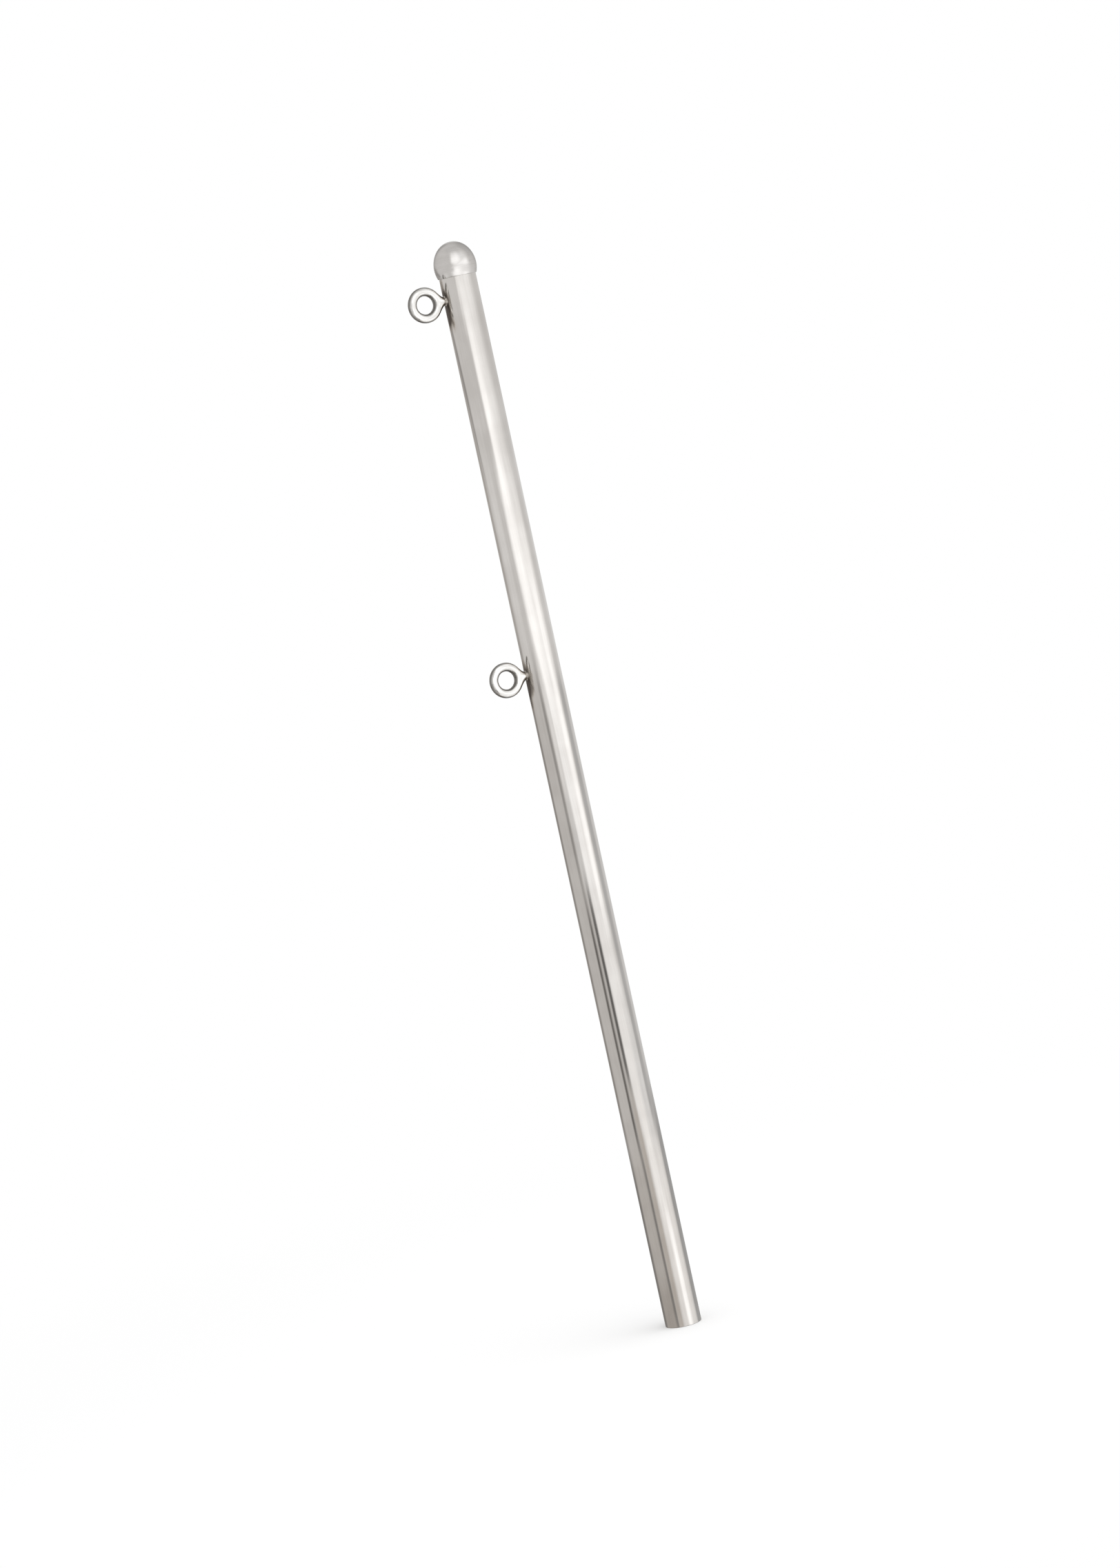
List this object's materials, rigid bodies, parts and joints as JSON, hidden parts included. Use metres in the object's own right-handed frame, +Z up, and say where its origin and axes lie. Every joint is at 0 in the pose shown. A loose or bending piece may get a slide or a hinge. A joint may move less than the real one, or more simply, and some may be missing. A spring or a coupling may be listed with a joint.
{
  "type": "boat flagpole",
  "caption": "Short polished flagpole: a parallel tube with a bulb-shaped cap at its head, closed wire eyes down one side for a flag's clips, and a plain foot that stands in a socket.",
  "frame": {"origin": "centre of the tube's square-cut foot", "axes": "+Z up the pole to the cap, -X towards the eyes, and Y along the holes of the eyes"},
  "size_m": [0.0536, 0.0286, 0.75],
  "materials": {
    "polished_tube": "polished",
    "polished_cap": "polished",
    "polished_wire": "polished"
  },
  "bodies": {
    "root": {"pole_tube": "polished_tube", "bulb_cap": "polished_cap", "upper_eye": "polished_wire", "lower_eye": "polished_wire"}
  },
  "joints": []
}
